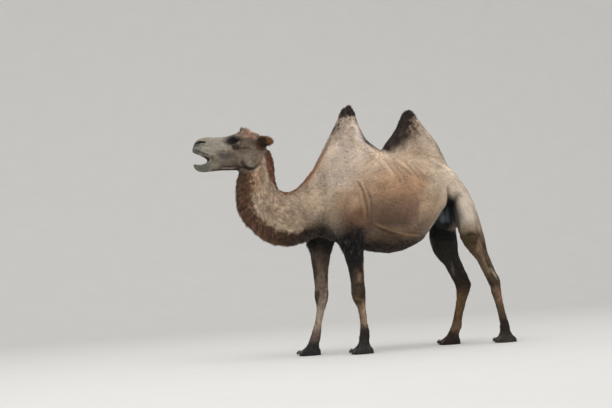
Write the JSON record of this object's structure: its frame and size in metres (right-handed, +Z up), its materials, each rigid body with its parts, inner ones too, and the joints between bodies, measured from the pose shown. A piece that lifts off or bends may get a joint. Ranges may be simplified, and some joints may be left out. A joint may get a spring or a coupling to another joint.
{
  "type": "bactrian camel",
  "caption": "Life-size standing two-humped camel in short summer coat, in mid stride, neck in a deep curve, head level and mouth open.",
  "frame": {"origin": "on the ground, below the middle of the animal's bounding box", "axes": "the camel faces -X, its left side is towards -Y, +Z is up"},
  "size_m": [2.775, 0.7918, 2.13],
  "materials": {
    "coat_body": "short matt sandy coat",
    "coat_face": "very short matt grey-brown coat",
    "coat_leg": "short matt brown coat",
    "coat_dark": "longer matt dark brown hair",
    "horn": "dull dark horn",
    "eye": "wet and glossy",
    "tongue": "moist flesh",
    "tooth": "worn yellowish enamel"
  },
  "bodies": {
    "root": {"head": "coat_face", "lower_jaw": "coat_face", "neck_upper": "coat_body", "neck_middle": "coat_body", "neck_lower": "coat_body", "trunk": "coat_body", "hump_front": "coat_dark", "hump_rear": "coat_dark", "tail": "coat_dark", "fore_left_forearm": "coat_leg", "fore_left_cannon": "coat_leg", "fore_left_foot": "coat_leg", "fore_left_nail_1": "horn", "fore_left_nail_2": "horn", "fore_right_forearm": "coat_leg", "fore_right_cannon": "coat_leg", "fore_right_foot": "coat_leg", "fore_right_nail_1": "horn", "fore_right_nail_2": "horn", "hind_left_thigh": "coat_leg", "hind_left_shank": "coat_leg", "hind_left_cannon": "coat_leg", "hind_left_foot": "coat_leg", "hind_left_nail_1": "horn", "hind_left_nail_2": "horn", "hind_right_thigh": "coat_leg", "hind_right_shank": "coat_leg", "hind_right_cannon": "coat_leg", "hind_right_foot": "coat_leg", "hind_right_nail_1": "horn", "hind_right_nail_2": "horn", "eye_left": "eye", "eye_right": "eye", "ear_left": "coat_dark", "ear_right": "coat_dark", "tongue": "tongue", "lower_teeth": "tooth"}
  },
  "joints": []
}
